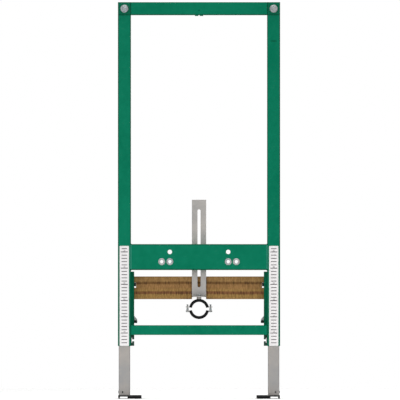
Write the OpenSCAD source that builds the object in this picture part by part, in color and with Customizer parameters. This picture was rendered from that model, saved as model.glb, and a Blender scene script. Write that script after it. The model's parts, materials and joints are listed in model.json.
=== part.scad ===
// Bidet installation frame: a free-standing steel frame with telescopic legs, a slotted
// drain bar with a lined pipe clamp, and a plywood board for the water connections.
// Heights named "above the finished floor" start at the tiled floor; the raw floor is z = 0.

/* [Frame] */
// Width over the two posts
frame_w = 500; // [420:5:700]
// Top of the frame above the finished floor
frame_h = 1120; // [950:5:1300]
// Build-up between the raw and the finished floor, taken up by the legs
floor_build = 102; // [30:1:190]
// Side of the square post tube
post_w = 40; // [36:1:50]
// Wall of the posts and the top bar
tube_t = 2; // [1.5:0.5:3]
// Outer corner radius of the square tubes
tube_r = 4; // [3:0.5:5]
// Lower end of the posts above the finished floor
post_bottom_h = 60; // [50:1:90]

/* [Top corners] */
// Length of the plugs that enter the tubes
plug_len = 25; // [15:1:35]
// Clearance of a plug to the tube, each side
plug_slack = 0.15; // [0.1:0.05:0.3]
// Set-back of the corner's front face behind the tubes
corner_setback = 1.5; // [0.5:0.5:3]
// Radius of the wall stud
wall_stud_r = 6; // [5:0.5:7]
// Length of the wall stud behind the frame
wall_stud_rear = 29; // [20:1:30]
// Radius of the flange under the front nut
wall_flange_r = 12.2; // [11:0.1:14]
// Thickness of that flange
wall_flange_t = 2.5; // [2:0.5:4]
// Width across flats of the wall nuts
wall_nut_af = 19; // [17:1:21]
// Height of the wall nuts
wall_nut_h = 9; // [6:0.5:10]

/* [Centre mark] */
// Radius of the hole in the middle of the top bar
mark_hole_r = 1.5; // [1:0.5:3]
// Height of that hole above the bar's lower face
mark_hole_up = 15; // [8:1:25]
// Width of one of the two lugs under the bar
mark_lug_w = 10.7; // [6:0.1:16]
// How far the lugs reach below the bar
mark_lug_drop = 2.8; // [2:0.1:5]
// Gap between the two lugs
mark_gap = 4.2; // [3:0.1:8]

/* [Crossbars] */
// Height of the channel that carries the bidet
mid_h = 80; // [70:1:100]
// Depth of its flanges
mid_d = 34; // [28:1:36]
// Sheet thickness of the channel
mid_t = 3; // [2:0.5:4]
// Outer bend radius of the channel
mid_r = 5; // [4:0.5:8]
// Height of the flat lower crossbar
low_h = 30; // [20:1:40]
// Its lower edge above the finished floor
low_bottom_h = 94; // [88:1:110]
// Its thickness
low_t = 4; // [3:0.5:5]

/* [Bidet fixings] */
// Spacing of the outer threaded inserts
outer_spacing = 230; // [225:1:260]
// Spacing of the inner threaded inserts
inner_spacing = 180; // [120:1:185]
// Height of the inserts above the finished floor
insert_h = 320; // [280:1:345]
// Height of the inserts above the channel's lower edge
insert_edge = 26; // [20:1:34]
// Radius of the insert's flange
insert_flange_r = 10.5; // [10:0.1:11]
// Thickness of the flange
insert_flange_t = 1.5; // [1:0.5:2.5]
// Radius of the insert's shank
insert_shank_r = 8; // [7.5:0.1:9]
// Length of the shank behind the flange
insert_len = 18; // [14:1:24]
// Core radius of the thread
insert_bore_r = 5.1; // [4.2:0.1:5.4]
// Radius of the two plain holes above the inserts
upper_hole_r = 6.8; // [5:0.1:7.5]
// Spacing of those holes
upper_spacing = 180; // [120:1:240]
// Height of those holes above the inserts
upper_hole_rise = 30; // [22:1:36]

/* [Board] */
// Height of the board's face
board_h = 70; // [60:1:80]
// Lower edge of the board above the finished floor
board_bottom_h = 204; // [195:1:206]
// Thickness of the board
board_t = 18; // [15:1:21]
// Height of the notch in each end
notch_h = 16; // [14:0.5:24]
// Lower edge of the notch above the board's lower edge
notch_up = 35; // [20:0.5:40]
// Reach of the notch inwards past the rail
notch_reach = 5.6; // [5:0.1:12]
// Radius of the screws that carry the board
board_screw_r = 5.5; // [3:0.5:6]

/* [Rails] */
// Width of the rail that shows beside the post
rail_show = 10; // [6:1:14]
// Width of the rail behind the post
rail_behind = 15; // [12:1:18]
// Sheet thickness of the rail
rail_t = 2; // [1.5:0.5:3]
// Clearance of what lies in the rail
rail_slack = 0.3; // [0.2:0.05:0.5]
// Top of the rail above the finished floor
rail_top_h = 289; // [280:1:292]
// Height of the slit in the guide block
slit_h = 6; // [3:0.5:8]
// Depth of the slit from the inner edge
slit_d = 8; // [4:0.5:10]
// Height of the slit above the post's lower end
slit_up = 14; // [8:1:22]
// Width of the upright relief at the end of the slit
relief_w = 1.5; // [1:0.5:3]
// Rise of the relief above and below the slit
relief_rise = 5; // [3:0.5:6]

/* [Leg locks] */
// Height of the lock above the finished floor, at its lower edge
lock_bottom_h = 130; // [126:1:150]
// Height of the lock
lock_h = 24; // [18:1:30]
// How far the release lever stands out of the rail
lever_out = 9; // [6:0.5:12]
// Radius of the pin that presses on the leg
lock_pin_r = 4; // [3:0.5:5]
// Gap between that pin and the leg
lock_gap = 0.3; // [0.2:0.05:0.5]

/* [Legs] */
// Clearance of the leg in the post, each side
leg_slack = 0.5; // [0.3:0.1:0.8]
// Wall of the leg tube
leg_t = 2; // [1.5:0.5:3]
// Length of the leg tube
leg_len = 400; // [380:5:480]
// Radius of the small hole in the leg's front face
leg_hole_r = 2.5; // [1.5:0.5:3]
// Sideways place of that hole from the middle of the leg
leg_hole_out = 5.8; // [0:0.1:8]
// Height of the foot bolt and that hole above the foot plate
foot_bolt_up = 10; // [8:0.5:16]

/* [Feet] */
// Length of the foot from its toe inwards
foot_len = 72; // [60:1:100]
// Depth of the foot, front to back
foot_d = 100; // [90:2:140]
// Thickness of the foot plate
foot_t = 4; // [3:0.5:6]
// Thickness of the rubber pad and height of the toe below the plate
pad_t = 6; // [4:0.5:10]
// Length of the rubber pad
pad_len = 43; // [36:1:48]
// Width of the folded toe
toe_w = 5; // [4:0.5:7]
// Set-back of the toe inside the post's outer face
toe_inset = 0.8; // [0.2:0.1:1.5]
// Radius of the foot plate's rounded corners
foot_r = 8; // [4:1:12]
// Radius of the floor anchor holes
anchor_r = 5.5; // [4:0.5:6.5]
// Spacing of the two anchor holes of a foot, front to back
anchor_spacing = 70; // [56:1:76]
// Distance of the anchor holes from the foot's inner edge
anchor_in = 17; // [14:1:20]
// Height of the socket that enters the leg
socket_h = 30; // [22:1:50]
// Wall of the socket
socket_t = 3; // [2:0.5:4]
// Clearance of the socket in the leg, each side
socket_slack = 0.3; // [0.2:0.05:0.4]
// Radius of the foot bolt
foot_bolt_r = 3; // [2:0.5:4]
// Radius of the foot bolt's head
foot_bolt_head_r = 4.3; // [3.5:0.1:5.5]
// Height of that head
foot_bolt_head_h = 1.8; // [1.2:0.1:2.2]

/* [Drain bar] */
// Width of the slotted bar
bar_w = 44; // [38:1:50]
// Sheet thickness of the bar
bar_t = 3; // [2.5:0.5:4]
// Underside of the folded tab above the finished floor
bar_bottom_h = 210.7; // [205:0.1:216]
// Length of the bar above the tab's underside
bar_len = 300; // [280:1:320]
// Width of the slot
slot_w = 9.5; // [9:0.1:11]
// Overall length of the slot
slot_len = 240; // [200:1:250]
// Lower end of the slot above the tab's underside
slot_up = 30.5; // [26:0.5:40]
// Inner bend radius at the tab
bar_bend_r = 2; // [1:0.5:4]
// Chamfer on the tab's two front corners
tab_chamfer = 4; // [2:0.5:6]
// Clearance of the bar to the channel's flanges
bar_slack = 0.2; // [0.1:0.05:0.4]
// Radius of the stud that the bar slides on
drain_stud_r = 4; // [3:0.5:4.5]
// Height of that stud above the channel's lower edge
drain_stud_up = 40; // [30:1:50]
// Radius of the washer behind the bar
drain_washer_r = 12; // [10:0.5:15]
// Thickness of the washer
drain_washer_t = 2; // [1.5:0.5:3]

/* [Pipe clamp] */
// Inner radius of the rubber lining, the pipe's radius
pipe_r = 22; // [20:0.5:25]
// Thickness of the lining inside the band
lining_t = 5; // [3:0.5:6]
// Thickness of the steel band
band_t = 2.5; // [2:0.1:3]
// Width of the steel band
band_w = 20; // [16:1:24]
// Width of each lip of the lining beside the band
lip_w = 2; // [1:0.5:3]
// Height of the lips above the band
lip_h = 1.5; // [1:0.1:2.5]
// Gap between the two halves
clamp_gap = 8.8; // [5:0.1:11]
// Distance of the tab's underside above the lining's top
clamp_drop = 5.8; // [4:0.1:10]
// Distance of the clamp's middle behind the tab's front edge
clamp_back = 12; // [10:0.5:14]
// Distance of each clamp screw from the middle
clamp_screw_x = 35.5; // [34.5:0.1:38]
// Reach of the ears from the middle
ear_x = 41; // [40.5:0.1:44]
// Thickness of the ears
ear_t = 2.5; // [2:0.1:3]
// Corner radius of the ears
ear_r = 3; // [1:0.5:6]
// Radius of the clamp screws
clamp_screw_r = 2.8; // [2:0.1:3]
// How far the clamp screws stand above the upper ears
clamp_screw_end = 7; // [3:0.5:10]
// Width across flats of the nut welded on the clamp
hanger_nut_af = 12.4; // [11:0.1:13]
// Radius of the hanger stud
hanger_r = 4; // [3:0.5:4.2]
// How far the hanger stud stands above the tab
hanger_end = 6.5; // [3:0.5:10]

/* [Hidden] */
$fn = 64;

// Overlap of a cutting tool past the face that it leaves through
cut = 1;
// Clearance of a bolt, screw or stud in a plain or threaded hole
hole_slack = 0.1;

// Colours
green = [0.04, 0.46, 0.34];
dark_green = [0.03, 0.35, 0.25];
zinc = [0.64, 0.63, 0.62];
black = [0.1, 0.1, 0.1];

// Main planes and heights of the frame
front_y = -post_w / 2;
back_y = post_w / 2;
post_x = frame_w / 2 - post_w / 2;
inner_x = frame_w / 2 - post_w;
top_z = floor_build + frame_h;
post_bottom_z = floor_build + post_bottom_h;
corner_bottom_z = top_z - post_w;
corner_z = top_z - post_w / 2;
insert_z = floor_build + insert_h;
mid_bottom_z = insert_z - insert_edge;
low_bottom_z = floor_build + low_bottom_h;

// Rail, board and lock
rail_in_x = inner_x - rail_show;
rail_out_x = inner_x + rail_behind;
rail_d = board_t + 2 * rail_slack + 2 * rail_t;
rail_r = rail_t + 1;
board_front_y = back_y + rail_t + rail_slack;
board_mid_y = board_front_y + board_t / 2;
board_half = rail_out_x - rail_t - rail_slack;
board_bottom_z = floor_build + board_bottom_h;
notch_in_x = rail_in_x - notch_reach;
notch_bottom_z = board_bottom_z + notch_up;
board_screw_z = notch_bottom_z + notch_h - board_screw_r - rail_slack;
lock_bottom_z = floor_build + lock_bottom_h;
lock_mid_z = lock_bottom_z + lock_h / 2;
leg_w = post_w - 2 * tube_t - 2 * leg_slack;
lock_pin_x = inner_x + tube_t + lock_pin_r + 2.5;

// Foot and leg
foot_h = foot_t + pad_t;
foot_out_x = frame_w / 2 - toe_inset;
foot_in_x = foot_out_x - foot_len;
socket_w = leg_w - 2 * leg_t - 2 * socket_slack;
foot_bolt_z = foot_h + foot_bolt_up;

// Drain bar and clamp
bar_front_y = front_y + mid_d + bar_slack;
bar_back_y = bar_front_y + bar_t;
bar_bottom_z = floor_build + bar_bottom_h;
tab_front_y = front_y + low_t + 5;
clamp_y = tab_front_y + clamp_back;
band_in_r = pipe_r + lining_t;
band_out_r = band_in_r + band_t;
lip_r = band_out_r + lip_h;
clamp_z = bar_bottom_z - clamp_drop - lip_r;
ear_low_z = clamp_gap / 2 + 0.6;
drain_stud_z = mid_bottom_z + drain_stud_up;
drain_stud_end = bar_back_y + bar_slack + drain_washer_t + 11;
drain_nut_h = 6.5;
drain_nut_af = 13;

// Draws a right-hand piece, or its mirror image on the left
module on_side(side) {
    if (side < 0) mirror([1, 0, 0]) children();
    else children();
}

// Flat rectangle with round corners, centred
module round_rect(w, h, r) {
    square([w - 2 * r, h], center = true);
    square([w, h - 2 * r], center = true);
    for (sx = [-1, 1], sy = [-1, 1])
        translate([sx * (w / 2 - r), sy * (h / 2 - r)]) circle(r);
}

// Square tube along +Z, standing on z = 0
module square_tube(w, t, r, len) {
    linear_extrude(len) difference() {
        round_rect(w, w, r);
        round_rect(w - 2 * t, w - 2 * t, max(r - t, 0.5));
    }
}

// Round rod from y = y0 to y = y1
module rod_y(r, y0, y1) {
    translate([0, y0, 0]) rotate([-90, 0, 0]) cylinder(r = r, h = y1 - y0);
}

// Round rod from x = x0 to x = x1
module rod_x(r, x0, x1) {
    translate([x0, 0, 0]) rotate([0, 90, 0]) cylinder(r = r, h = x1 - x0);
}

// Hexagon along +Z with chamfered corners, of a given width across flats
module hex_head(af, h) {
    corner_r = af / sqrt(3);
    bevel = (corner_r - af / 2) * tan(30);
    intersection() {
        cylinder(r = corner_r, h = h, $fn = 6);
        rotate_extrude() polygon([[0, 0], [af / 2, 0], [corner_r + cut, bevel * (1 + cut)],
            [corner_r + cut, h - bevel * (1 + cut)], [af / 2, h], [0, h]]);
    }
}

// Hexagon nut body from y = y0 to y = y1
module hex_y(af, y0, y1) {
    translate([0, y0, 0]) rotate([-90, 0, 0]) hex_head(af, y1 - y0);
}

// Places children at the middle of a top corner
module at_corner() {
    translate([post_x, 0, corner_z]) children();
}

// Post: square tube with the hole for the lock pin in its rear wall
module post(side) {
    color(green) on_side(side) difference() {
        translate([post_x, 0, post_bottom_z])
            square_tube(post_w, tube_t, tube_r, corner_bottom_z - post_bottom_z);
        translate([lock_pin_x, 0, lock_mid_z])
            rod_y(lock_pin_r + rail_slack, back_y - tube_t - cut, back_y + cut);
    }
}

// Top bar between the corners, with the centre hole and the two centre lugs
module top_bar() {
    lug_y = front_y + tube_r;
    color(green) difference() {
        union() {
            translate([-inner_x, 0, corner_z]) rotate([0, 90, 0])
                square_tube(post_w, tube_t, tube_r, 2 * inner_x);
            for (side = [-1, 1])
                translate([side * (mark_gap + mark_lug_w) / 2 - mark_lug_w / 2, lug_y,
                        corner_bottom_z - mark_lug_drop])
                    cube([mark_lug_w, tube_t, mark_lug_drop + tube_t]);
        }
        translate([0, 0, corner_bottom_z + mark_hole_up])
            rod_y(mark_hole_r, front_y - cut, front_y + tube_t + cut);
    }
}

// Plug that enters a tube, standing on z = 0
module plug() {
    w = post_w - 2 * tube_t - 2 * plug_slack;
    square_tube(w, 2 * tube_t, max(tube_r - tube_t, 0.5), plug_len);
}

// Corner connector with a plug for the post and one for the top bar
module corner(side) {
    color(dark_green) on_side(side) at_corner() difference() {
        union() {
            intersection() {
                translate([0, 0, -post_w / 2]) linear_extrude(post_w)
                    round_rect(post_w, post_w, tube_r);
                translate([-post_w / 2, 0, 0]) rotate([0, 90, 0]) linear_extrude(post_w)
                    round_rect(post_w, post_w, tube_r);
                translate([-post_w / 2, front_y + corner_setback, -post_w / 2]) cube(post_w);
            }
            translate([0, 0, -post_w / 2 - plug_len]) plug();
            translate([-post_w / 2 - plug_len, 0, 0]) rotate([0, 90, 0]) plug();
        }
        rod_y(wall_stud_r + hole_slack, front_y - cut, back_y + cut);
    }
}

// Threaded stud for the wall fixing, from the front nut to behind the frame
module wall_stud(side) {
    color(zinc) on_side(side) at_corner()
        rod_y(wall_stud_r, front_y + corner_setback - wall_flange_t - wall_nut_h - 1,
            back_y + wall_stud_rear);
}

// Flanged nut on the front of the corner
module wall_nut(side) {
    seat_y = front_y + corner_setback;
    color(zinc) on_side(side) at_corner() difference() {
        union() {
            rod_y(wall_flange_r, seat_y - wall_flange_t, seat_y);
            hex_y(wall_nut_af, seat_y - wall_flange_t - wall_nut_h, seat_y - wall_flange_t);
        }
        rod_y(wall_stud_r + hole_slack, seat_y - wall_flange_t - wall_nut_h - cut, seat_y + cut);
    }
}

// Plain nut behind the corner
module wall_back_nut(side) {
    color(zinc) on_side(side) at_corner() difference() {
        hex_y(wall_nut_af, back_y, back_y + wall_nut_h);
        rod_y(wall_stud_r + hole_slack, back_y - cut, back_y + wall_nut_h + cut);
    }
}

// Channel section open to the rear, drawn in the y-z plane from its front lower corner
module channel_profile() {
    intersection() {
        difference() {
            translate([mid_d, mid_h / 2]) round_rect(2 * mid_d, mid_h, mid_r);
            translate([mid_d, mid_h / 2])
                round_rect(2 * (mid_d - mid_t), mid_h - 2 * mid_t, mid_r - mid_t);
        }
        square([mid_d, mid_h]);
    }
}

// Channel that carries the bidet, with its plain holes and the seats of the inserts
module mid_crossbar() {
    color(green) difference() {
        translate([-inner_x, front_y, mid_bottom_z]) rotate([90, 0, 90])
            linear_extrude(2 * inner_x) channel_profile();
        for (side = [-1, 1]) {
            translate([side * upper_spacing / 2, 0, insert_z + upper_hole_rise])
                rod_y(upper_hole_r, front_y - cut, front_y + mid_t + cut);
            for (spacing = [inner_spacing, outer_spacing])
                translate([side * spacing / 2, 0, insert_z])
                    rod_y(insert_shank_r + hole_slack, front_y - cut, front_y + mid_t + cut);
        }
    }
}

// Flat bar in front of the rails
module lower_crossbar() {
    color(green) translate([-inner_x, front_y, low_bottom_z]) cube([2 * inner_x, low_t, low_h]);
}

// Threaded insert: flange in front of the sheet, upset collar behind it
module insert(x) {
    collar_y = front_y + mid_t;
    color(zinc) translate([x, 0, insert_z]) difference() {
        union() {
            rod_y(insert_flange_r, front_y - insert_flange_t, front_y);
            rod_y(insert_shank_r, front_y - insert_flange_t, front_y + insert_len);
            rod_y(insert_shank_r + 1.5, collar_y, collar_y + 4);
        }
        rod_y(insert_bore_r, front_y - insert_flange_t - cut, front_y + insert_len + cut);
    }
}

// Outline of the rail in plan: outer edge at the web, open towards the middle of the frame
module rail_outline(inset, r) {
    w = rail_show + rail_behind - inset;
    translate([rail_in_x, back_y + rail_d / 2]) intersection() {
        round_rect(2 * w, rail_d - 2 * inset, r);
        translate([-cut, -rail_d / 2]) square([w + cut, rail_d]);
    }
}

// Rail behind the post: a C section that holds the board and the leg lock
module rail(side) {
    color(dark_green) on_side(side) difference() {
        translate([0, 0, low_bottom_z])
            linear_extrude(floor_build + rail_top_h - low_bottom_z) intersection() {
                difference() {
                    rail_outline(0, rail_r);
                    rail_outline(rail_t, rail_r - rail_t);
                }
                translate([rail_in_x, back_y]) square([rail_show + rail_behind, rail_d]);
            }
        translate([lock_pin_x, 0, lock_mid_z])
            rod_y(lock_pin_r + rail_slack, back_y - cut, back_y + rail_t + cut);
        translate([0, board_mid_y, board_screw_z])
            rod_x(board_screw_r + hole_slack, rail_out_x - rail_t - cut, rail_out_x + cut);
    }
}

// Guide block under the rail, with its slit and the upright relief at the slit's end
module leg_guide(side) {
    color(dark_green) on_side(side) difference() {
        translate([0, 0, post_bottom_z]) linear_extrude(low_bottom_z - post_bottom_z)
            intersection() {
                rail_outline(0, rail_r);
                translate([rail_in_x, back_y]) square([rail_show + rail_behind, rail_d]);
            }
        translate([rail_in_x - cut, back_y - cut, post_bottom_z + slit_up])
            cube([slit_d + cut, rail_d + 2 * cut, slit_h]);
        translate([rail_in_x + slit_d - relief_w, back_y - cut, post_bottom_z + slit_up - relief_rise])
            cube([relief_w, rail_d + 2 * cut, slit_h + 2 * relief_rise]);
    }
}

// Leg lock in the rail: a block with a release lever and a pin that reaches the leg
module leg_lock(side) {
    block_out_x = rail_out_x - rail_t - rail_slack;
    lever_x = rail_in_x - lever_out;
    lever_low = lock_h / 2;
    color(black) on_side(side) translate([0, 0, lock_bottom_z]) {
        translate([0, board_front_y + board_t, 0]) rotate([90, 0, 0]) linear_extrude(board_t)
            polygon([[block_out_x, 0], [block_out_x, lock_h], [rail_in_x, lock_h],
                [lever_x, lever_low], [lever_x, 2], [lever_x + 2, 0]]);
        translate([lock_pin_x, 0, lock_h / 2])
            rod_y(lock_pin_r, leg_w / 2 + lock_gap, board_front_y + cut);
    }
}

// Plywood board with a notch in each end
module mounting_board() {
    color([0.5, 0.37, 0.24]) difference() {
        translate([-board_half, board_front_y, board_bottom_z])
            cube([2 * board_half, board_t, board_h]);
        for (side = [-1, 1]) on_side(side)
            translate([notch_in_x, board_front_y - cut, notch_bottom_z])
                cube([board_half - notch_in_x + cut, board_t + 2 * cut, notch_h]);
    }
}

// Screw through the rail's web into the board's notch
module board_screw(side) {
    head_h = 5.3;
    head_af = 2 * board_screw_r + 4;
    color(black) on_side(side) translate([0, board_mid_y, board_screw_z]) {
        rod_x(board_screw_r, notch_in_x + rail_slack, rail_out_x + cut);
        translate([rail_out_x, 0, 0]) rotate([0, 90, 0])
            hex_head(head_af, head_h);
    }
}

// Weld stud on the back of the channel
module drain_stud() {
    color(zinc) translate([0, 0, drain_stud_z]) {
        rod_y(drain_stud_r, front_y + mid_t, drain_stud_end);
        rod_y(drain_stud_r + 2, front_y + mid_t, front_y + mid_t + 2);
    }
}

// Washer and nut that clamp the drain bar
module drain_nut() {
    washer_y = bar_back_y + bar_slack;
    nut_y = washer_y + drain_washer_t;
    color(zinc) translate([0, 0, drain_stud_z]) difference() {
        union() {
            rod_y(drain_washer_r, washer_y, nut_y);
            hex_y(drain_nut_af, nut_y, nut_y + drain_nut_h);
        }
        rod_y(drain_stud_r + hole_slack, washer_y - cut, nut_y + drain_nut_h + cut);
    }
}

// Side outline of the drain bar, with the tab folded forwards at its lower end
module bar_profile() {
    ro = bar_bend_r + bar_t;
    translate([bar_front_y, ro]) square([bar_t, bar_len - ro]);
    translate([tab_front_y, 0]) square([bar_back_y - ro - tab_front_y, bar_t]);
    translate([bar_back_y - ro, ro]) intersection() {
        difference() {
            circle(ro);
            circle(bar_bend_r);
        }
        translate([0, -ro]) square(ro);
    }
}

// Slotted bar that carries the pipe clamp
module drain_bar() {
    half = bar_w / 2;
    slot_r = slot_w / 2;
    color(zinc) translate([0, 0, bar_bottom_z]) difference() {
        intersection() {
            translate([-half, 0, 0]) rotate([90, 0, 90]) linear_extrude(bar_w) bar_profile();
            linear_extrude(bar_len) polygon([[-half, bar_back_y], [half, bar_back_y],
                [half, tab_front_y + tab_chamfer], [half - tab_chamfer, tab_front_y],
                [tab_chamfer - half, tab_front_y], [-half, tab_front_y + tab_chamfer]]);
        }
        for (z = [slot_up + slot_r, slot_up + slot_len - slot_r])
            translate([0, 0, z]) rod_y(slot_r, bar_front_y - cut, bar_back_y + cut);
        translate([-slot_r, bar_front_y - cut, slot_up + slot_r])
            cube([slot_w, bar_t + 2 * cut, slot_len - slot_w]);
        translate([0, clamp_y, -cut]) cylinder(r = hanger_r + hole_slack, h = bar_t + 2 * cut);
    }
}

// Places children at the middle of the pipe clamp, its bore along y
module at_clamp() {
    translate([0, clamp_y, clamp_z]) children();
}

// Stud between the clamp's nut and the tab
module hanger_stud() {
    color(zinc) at_clamp() translate([0, 0, band_out_r])
        cylinder(r = hanger_r, h = lip_r + clamp_drop + bar_t + hanger_end - band_out_r);
}

// Half of a ring about the y axis, above the gap between the clamp's halves
module half_ring(r_in, r_out, width) {
    difference() {
        rod_y(r_out, -width / 2, width / 2);
        rod_y(r_in, -width / 2 - cut, width / 2 + cut);
        translate([-r_out - cut, -width / 2 - cut, clamp_gap / 2 - 2 * r_out])
            cube([2 * r_out + 2 * cut, width + 2 * cut, 2 * r_out]);
    }
}

// Steel half of the clamp with its two ears, drawn as the upper half
module clamp_band() {
    ear_in_x = band_in_r - 2;
    difference() {
        union() {
            half_ring(band_in_r, band_out_r, band_w);
            for (side = [-1, 1])
                translate([side * (ear_x + ear_in_x) / 2, 0, ear_low_z]) linear_extrude(ear_t)
                    round_rect(ear_x - ear_in_x, band_w, ear_r);
        }
        rod_y(band_in_r, -band_w / 2 - cut, band_w / 2 + cut);
        for (side = [-1, 1])
            translate([side * clamp_screw_x, 0, ear_low_z - cut])
                cylinder(r = clamp_screw_r + hole_slack, h = ear_t + 2 * cut);
    }
}

// Rubber lining: a half ring inside the band with a lip on each side of it
module clamp_lining() {
    half_ring(pipe_r, band_in_r, band_w + 2 * lip_w);
    for (side = [-1, 1])
        translate([0, side * (band_w + lip_w) / 2, 0]) half_ring(band_in_r - 1, lip_r, lip_w);
}

// Upper half of the clamp, with the nut that takes the hanger stud
module clamp_upper_band() {
    color(zinc) at_clamp() {
        clamp_band();
        difference() {
            cylinder(r = hanger_nut_af / sqrt(3), h = lip_r + clamp_drop, $fn = 6);
            rod_y(band_in_r + band_t / 2, -band_w, band_w);
            translate([0, 0, band_out_r])
                cylinder(r = hanger_r + hole_slack, h = lip_r + clamp_drop);
        }
    }
}

// Lower half of the clamp
module clamp_lower_band() {
    color(zinc) at_clamp() mirror([0, 0, 1]) clamp_band();
}

// Lining of the upper half
module clamp_upper_lining() {
    color(black) at_clamp() clamp_lining();
}

// Lining of the lower half
module clamp_lower_lining() {
    color(black) at_clamp() mirror([0, 0, 1]) clamp_lining();
}

// Clamp screw from under the lower ear up through the upper one
module clamp_screw(side) {
    low = -ear_low_z - ear_t;
    head_h = 2.4;
    head_r = 4.8;
    collar_r = 3.6;
    color(zinc) at_clamp() translate([side * clamp_screw_x, 0, 0]) {
        translate([0, 0, low - head_h])
            cylinder(r = clamp_screw_r, h = head_h + 2 * (ear_low_z + ear_t) + clamp_screw_end);
        translate([0, 0, low - head_h]) cylinder(r = head_r, h = head_h);
        translate([0, 0, -ear_low_z]) cylinder(r = collar_r, h = 2 * ear_low_z - 2);
    }
}

// Telescopic leg: tube with the front hole and the hole of the foot bolt
module leg(side) {
    color(zinc) on_side(side) translate([post_x, 0, 0]) difference() {
        translate([0, 0, foot_h]) square_tube(leg_w, leg_t, max(tube_r - tube_t, 1), leg_len);
        translate([leg_hole_out, 0, foot_bolt_z]) rod_y(leg_hole_r, -leg_w, -leg_w / 2 + leg_t + 0.1);
        translate([0, 0, foot_bolt_z])
            rod_x(foot_bolt_r + hole_slack, leg_w / 2 - leg_t - 0.1, leg_w);
    }
}

// Plan outline of the foot: square at the toe, rounded at its inner end
module foot_outline(len) {
    intersection() {
        translate([foot_in_x + len, 0]) round_rect(2 * len, foot_d, foot_r);
        translate([foot_in_x, -foot_d / 2]) square([len, foot_d]);
    }
}

// The two floor anchor holes of a foot
module anchor_holes() {
    for (sy = [-1, 1])
        translate([foot_in_x + anchor_in, sy * anchor_spacing / 2, -cut])
            cylinder(r = anchor_r, h = foot_h + 2 * cut);
}

// Foot plate with its toe folded down and the socket that enters the leg
module foot_plate(side) {
    color(black) on_side(side) difference() {
        union() {
            translate([0, 0, pad_t]) linear_extrude(foot_t) foot_outline(foot_len);
            translate([foot_out_x - toe_w, -foot_d / 2, 0]) cube([toe_w, foot_d, foot_h]);
            translate([post_x, 0, foot_h - 0.5])
                square_tube(socket_w, socket_t, 1.5, socket_h + 0.5);
        }
        anchor_holes();
        translate([post_x, 0, foot_bolt_z]) rod_x(foot_bolt_r + hole_slack, 0, leg_w);
    }
}

// Rubber pad under the inner end of the foot plate
module foot_pad(side) {
    color(black) on_side(side) difference() {
        linear_extrude(pad_t) foot_outline(pad_len);
        anchor_holes();
    }
}

// Bolt from the leg's outer face into the socket
module foot_bolt(side) {
    color(zinc) on_side(side) translate([post_x, 0, foot_bolt_z]) {
        rod_x(foot_bolt_r, socket_w / 2 - socket_t - 2, leg_w / 2 + 0.5);
        rod_x(foot_bolt_head_r, leg_w / 2, leg_w / 2 + foot_bolt_head_h);
    }
}

post(-1);  // left_post
post(1);  // right_post
top_bar();
corner(-1);  // left_corner
corner(1);  // right_corner
wall_stud(-1);  // left_wall_stud
wall_stud(1);  // right_wall_stud
wall_nut(-1);  // left_wall_nut
wall_nut(1);  // right_wall_nut
wall_back_nut(-1);  // left_wall_back_nut
wall_back_nut(1);  // right_wall_back_nut
mid_crossbar();
lower_crossbar();
insert(-outer_spacing / 2);  // left_outer_insert
insert(-inner_spacing / 2);  // left_inner_insert
insert(inner_spacing / 2);  // right_inner_insert
insert(outer_spacing / 2);  // right_outer_insert
rail(-1);  // left_rail
rail(1);  // right_rail
leg_guide(-1);  // left_leg_guide
leg_guide(1);  // right_leg_guide
leg_lock(-1);  // left_leg_lock
leg_lock(1);  // right_leg_lock
mounting_board();
board_screw(-1);  // left_board_screw
board_screw(1);  // right_board_screw
drain_stud();
drain_nut();
drain_bar();
hanger_stud();
clamp_upper_band();
clamp_lower_band();
clamp_upper_lining();
clamp_lower_lining();
clamp_screw(-1);  // left_clamp_screw
clamp_screw(1);  // right_clamp_screw
leg(-1);  // left_leg
leg(1);  // right_leg
foot_plate(-1);  // left_foot_plate
foot_plate(1);  // right_foot_plate
foot_pad(-1);  // left_foot_pad
foot_pad(1);  // right_foot_pad
foot_bolt(-1);  // left_foot_bolt
foot_bolt(1);  // right_foot_bolt
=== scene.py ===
import json
import math
import random

import bmesh
import bpy
from mathutils import Matrix, Vector

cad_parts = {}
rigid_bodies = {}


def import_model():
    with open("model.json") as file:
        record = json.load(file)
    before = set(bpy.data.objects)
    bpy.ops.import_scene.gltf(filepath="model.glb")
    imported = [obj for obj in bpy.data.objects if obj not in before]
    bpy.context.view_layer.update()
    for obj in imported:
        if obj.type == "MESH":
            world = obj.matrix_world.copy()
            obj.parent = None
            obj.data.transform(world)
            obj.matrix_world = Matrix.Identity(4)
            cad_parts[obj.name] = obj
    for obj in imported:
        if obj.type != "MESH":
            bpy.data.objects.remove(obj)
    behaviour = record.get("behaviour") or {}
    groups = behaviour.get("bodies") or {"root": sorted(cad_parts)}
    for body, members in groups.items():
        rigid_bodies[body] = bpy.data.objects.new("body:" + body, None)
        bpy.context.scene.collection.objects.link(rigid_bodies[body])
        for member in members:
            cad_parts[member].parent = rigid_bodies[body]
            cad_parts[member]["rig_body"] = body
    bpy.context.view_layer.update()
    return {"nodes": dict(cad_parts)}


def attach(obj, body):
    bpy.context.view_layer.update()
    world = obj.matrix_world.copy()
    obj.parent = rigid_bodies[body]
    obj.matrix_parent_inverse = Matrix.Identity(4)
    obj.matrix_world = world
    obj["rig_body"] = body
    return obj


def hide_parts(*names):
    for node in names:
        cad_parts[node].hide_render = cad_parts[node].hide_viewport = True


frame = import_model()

mm = 0.001
cadNodes = frame["nodes"]
sides = (("left", -1), ("right", 1))
print("frame loaded with", len(cadNodes), "nodes")


cameraSet = {
    "lens": 1200,                    # long, so the view is as flat as the photograph's
    "viewWidth": 1.233,              # metres across the picture
    "aim": (0.003, -0.02, 0.612),
    "reach": 400,                    # metres that it sees
}


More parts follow.
